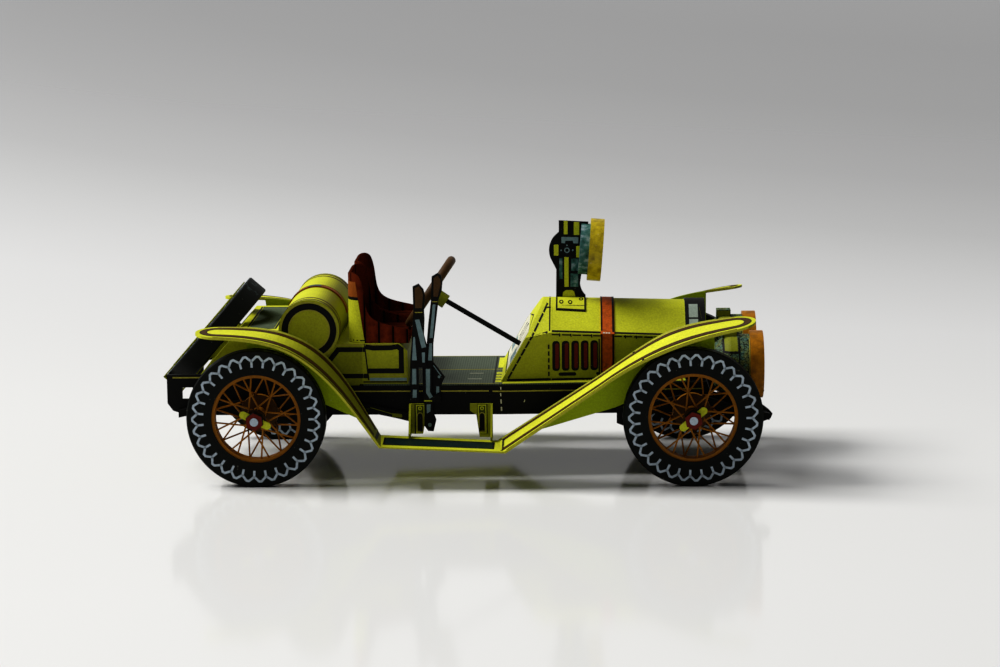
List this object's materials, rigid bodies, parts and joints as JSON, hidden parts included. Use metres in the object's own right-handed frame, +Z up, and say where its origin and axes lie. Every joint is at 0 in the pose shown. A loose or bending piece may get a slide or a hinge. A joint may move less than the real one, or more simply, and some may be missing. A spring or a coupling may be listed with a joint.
{
  "type": "card model of a brass era car",
  "caption": "Printed card model of an open two-seat brass era car with wire wheels, swept wings, bucket seats, drum tank, tilted spare tyre and lamps.",
  "frame": {"origin": "middle of the model's box, on the ground under the tyres", "axes": "+X forward, +Y to the car's left, +Z up"},
  "size_m": [0.1574, 0.0686, 0.0642],
  "materials": {
    "yellow_card": "printed card, yellow-green, light sheen",
    "black_card": "printed card, black",
    "grey_card": "printed card, grey hatch",
    "leather_print": "printed card, dark red pleated leather",
    "strap_print": "printed card, red-orange strap",
    "yellow_brass_print": "printed card, yellow brass",
    "orange_brass_print": "printed card, orange brass",
    "lamp_print": "printed card, teal and black",
    "lever_print": "printed card, blue-grey and black",
    "brown_card": "card, brown",
    "radiator_print": "printed card, black and blue-grey",
    "dash_print": "printed card, pale yellow and grey",
    "tyre_print": "printed card, black with a pale lug pattern",
    "wire_wheel_orange": "orange-brown wire and card",
    "hub_nut_print": "printed card, yellow and dark red",
    "axle_wire": "steel wire"
  },
  "bodies": {
    "root": {"brake_lever": "lever_print", "cowl": "yellow_card", "dashboard": "dash_print", "driver_cushion": "leather_print", "driver_seat": "leather_print", "floor_board": "grey_card", "frame": "black_card", "front_axle": "black_card", "front_axle_wire": "axle_wire", "front_springs": "black_card", "front_valance_left": "yellow_card", "front_valance_right": "yellow_card", "fuel_tank": "yellow_card", "gear_lever": "lever_print", "headlamp_brackets": "black_card", "headlamp_left": "lamp_print", "headlamp_right": "lamp_print", "headlamp_rim_left": "orange_brass_print", "headlamp_rim_right": "orange_brass_print", "hood": "yellow_card", "hood_strap": "strap_print", "lever_quadrant": "lever_print", "passenger_cushion": "leather_print", "passenger_seat": "leather_print", "radiator": "radiator_print", "rear_axle": "black_card", "rear_axle_wire": "axle_wire", "rear_body": "yellow_card", "rear_springs": "black_card", "rear_valance_left": "yellow_card", "rear_valance_right": "yellow_card", "running_board_hangers": "yellow_card", "search_lamp_body": "lamp_print", "search_lamp_bracket": "lamp_print", "search_lamp_rim": "yellow_brass_print", "seat_box": "yellow_card", "spare_carrier": "yellow_card", "spare_tyre": "tyre_print", "steering_column": "black_card", "steering_wheel": "brown_card", "tank_strap": "strap_print", "wing_left": "yellow_card", "wing_right": "yellow_card"},
    "wheel_front_left_body": {"tyre_front_left": "tyre_print", "wheel_front_left": "wire_wheel_orange", "hub_nut_front_left": "hub_nut_print"},
    "wheel_front_right_body": {"tyre_front_right": "tyre_print", "wheel_front_right": "wire_wheel_orange", "hub_nut_front_right": "hub_nut_print"},
    "wheel_rear_left_body": {"tyre_rear_left": "tyre_print", "wheel_rear_left": "wire_wheel_orange", "hub_nut_rear_left": "hub_nut_print"},
    "wheel_rear_right_body": {"tyre_rear_right": "tyre_print", "wheel_rear_right": "wire_wheel_orange", "hub_nut_rear_right": "hub_nut_print"}
  },
  "joints": [
    {"name": "front_left_wheel_spin", "type": "hinge", "parent": "root", "child": "wheel_front_left_body", "pos_m": [0.05782, 0.0285, 0.0176], "axis": [0, 1, 0], "continuous": true},
    {"name": "front_right_wheel_spin", "type": "hinge", "parent": "root", "child": "wheel_front_right_body", "pos_m": [0.05782, -0.0285, 0.0176], "axis": [0, 1, 0], "continuous": true},
    {"name": "rear_left_wheel_spin", "type": "hinge", "parent": "root", "child": "wheel_rear_left_body", "pos_m": [-0.05218, 0.0285, 0.0176], "axis": [0, 1, 0], "continuous": true},
    {"name": "rear_right_wheel_spin", "type": "hinge", "parent": "root", "child": "wheel_rear_right_body", "pos_m": [-0.05218, -0.0285, 0.0176], "axis": [0, 1, 0], "continuous": true}
  ]
}
